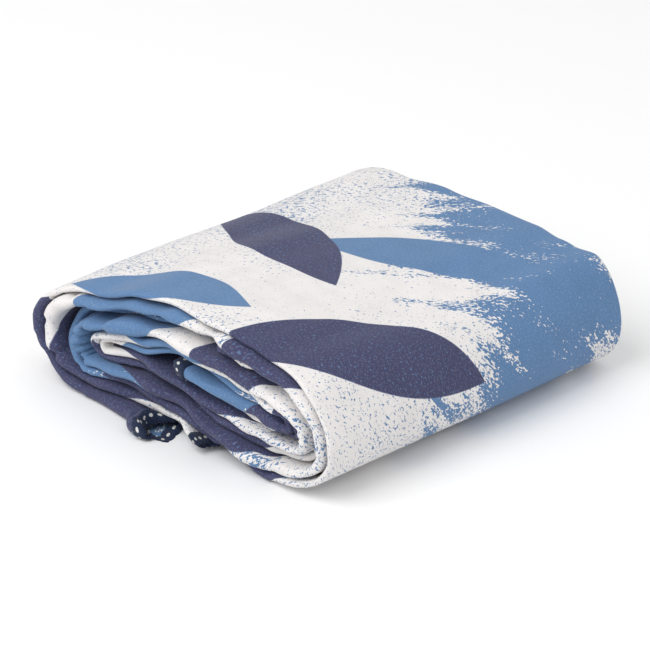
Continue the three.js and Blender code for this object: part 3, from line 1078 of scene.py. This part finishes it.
thread_finish = overlock_thread()
finishes = {towel: cloth_finish, outer_edging: thread_finish, inner_edging: thread_finish}
for piece, finish in finishes.items():
    piece.data.materials.clear()
    piece.data.materials.append(finish)
    print(piece.name, "is finished in", finish.name)

# %% [markdown] ## Tie the pieces to the frame Each piece moves with the CAD root body,
# and the CAD node it stands for is hidden.

for piece, node, slot in (
    (towel, "towel", "microfibre"),
    (outer_edging, "edging_outer_hem", "edging_thread"),
    (inner_edging, "edging_inner_hem", "edging_thread"),
):
    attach(piece, "root")
    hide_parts(node)

# %% [markdown]
# ## Table, light and camera
# The bundle lies on plain white in soft light from all around, brightest from above and from the
# left. A floor that is nearly white, a bright surround and two large lamps do the same. The camera
# is placed by the angles at which the bundle is seen, with a long lens, because its edges hardly
# converge.

# %% Set the table
TABLE_SIZE = 12
TABLE_WHITE = (0.93, 0.93, 0.93, 1)

deselect()
bpy.ops.mesh.primitive_plane_add(size=TABLE_SIZE)
table = bpy.context.object
table.name = "table"
table_finish, table_shader, _ = new_finish("white_table", roughness=0.9, sheen=0.0)
table_shader.inputs["Base Color"].default_value = TABLE_WHITE
table.data.materials.append(table_finish)
table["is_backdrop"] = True
print("The table is", TABLE_SIZE, "m wide")

# %% Set the lamps
LAMPS = {  # degrees round and up, then the distance and size in metres, and the power
    "soft_box_left": (-100, 52, 2.2, 1.6, 27),
    "soft_box_right": (10, 50, 2.4, 1.8, 6.5),
}
ROOM_LIGHT = 0.70


def direction(azimuth, elevation):
    """The way from the bundle that is so many degrees round and up."""
    a = math.radians(azimuth)
    e = math.radians(elevation)
    return Vector((math.sin(a) * math.cos(e), -math.cos(a) * math.cos(e), math.sin(e)))


for name, (azimuth, elevation, distance, size, power) in LAMPS.items():
    light = bpy.data.lights.new(name, "AREA")
    light.size = size
    light.energy = power
    way = direction(azimuth, elevation)
    lamp = bpy.data.objects.new(name, light)
    lamp.location = way * distance
    lamp.rotation_euler = way.to_track_quat("Z", "Y").to_euler()
    bpy.context.scene.collection.objects.link(lamp)
world = bpy.data.worlds.new("white_room")
bpy.context.scene.world = world
world.use_nodes = True
world.node_tree.nodes["Background"].inputs["Color"].default_value = (1, 1, 1, 1)
world.node_tree.nodes["Background"].inputs["Strength"].default_value = ROOM_LIGHT
bpy.context.scene.view_settings.view_transform = "Standard"
print("Lamps:", ", ".join(light.name for light in bpy.data.lights))

# %% Place the camera
AZIMUTH = -45.27
ELEVATION = 28.59
DISTANCE = 1.966
SCALE = 1800.0  # pixels for a metre at the roll's origin
IMAGE = 650
ORIGIN_PIXEL = (321.44, 364.2)
SENSOR = 36.0

back = direction(AZIMUTH, ELEVATION)
right = direction(AZIMUTH + 90, 0)
target = Vector((ROLL_PLACE[0] * MM, ROLL_PLACE[1] * MM, 0))
view = bpy.data.cameras.new("photo_view")
view.sensor_width = SENSOR
view.lens = SENSOR * SCALE * DISTANCE / IMAGE
view.shift_x = (IMAGE / 2 - ORIGIN_PIXEL[0]) / IMAGE
view.shift_y = (ORIGIN_PIXEL[1] - IMAGE / 2) / IMAGE
view.clip_end = 30
camera = bpy.data.objects.new("photo_view", view)
turned = Matrix((right, back.cross(right), back)).transposed().to_4x4()
camera.matrix_world = Matrix.Translation(target + back * DISTANCE) @ turned
bpy.context.scene.collection.objects.link(camera)
bpy.context.scene.camera = camera
print("The lens is", round(view.lens, 1), "mm long")

# %% [markdown]
# ## Print the boxes and finish
# The dressed towel is meant to stay within the box of the CAD model, but for the little that cloth may
# stand proud. Both boxes are printed.

# %% Print the boxes and finish
dressed_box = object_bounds()
boxes = {
    "cad": [[float(value) for value in corner] for corner in cad_box],
    "visual": [[float(value) for value in corner] for corner in dressed_box],
}
for name, (low, high) in boxes.items():
    print(name, "box:", [round((b - a) * 1000, 1) for a, b in zip(low, high)], "mm")
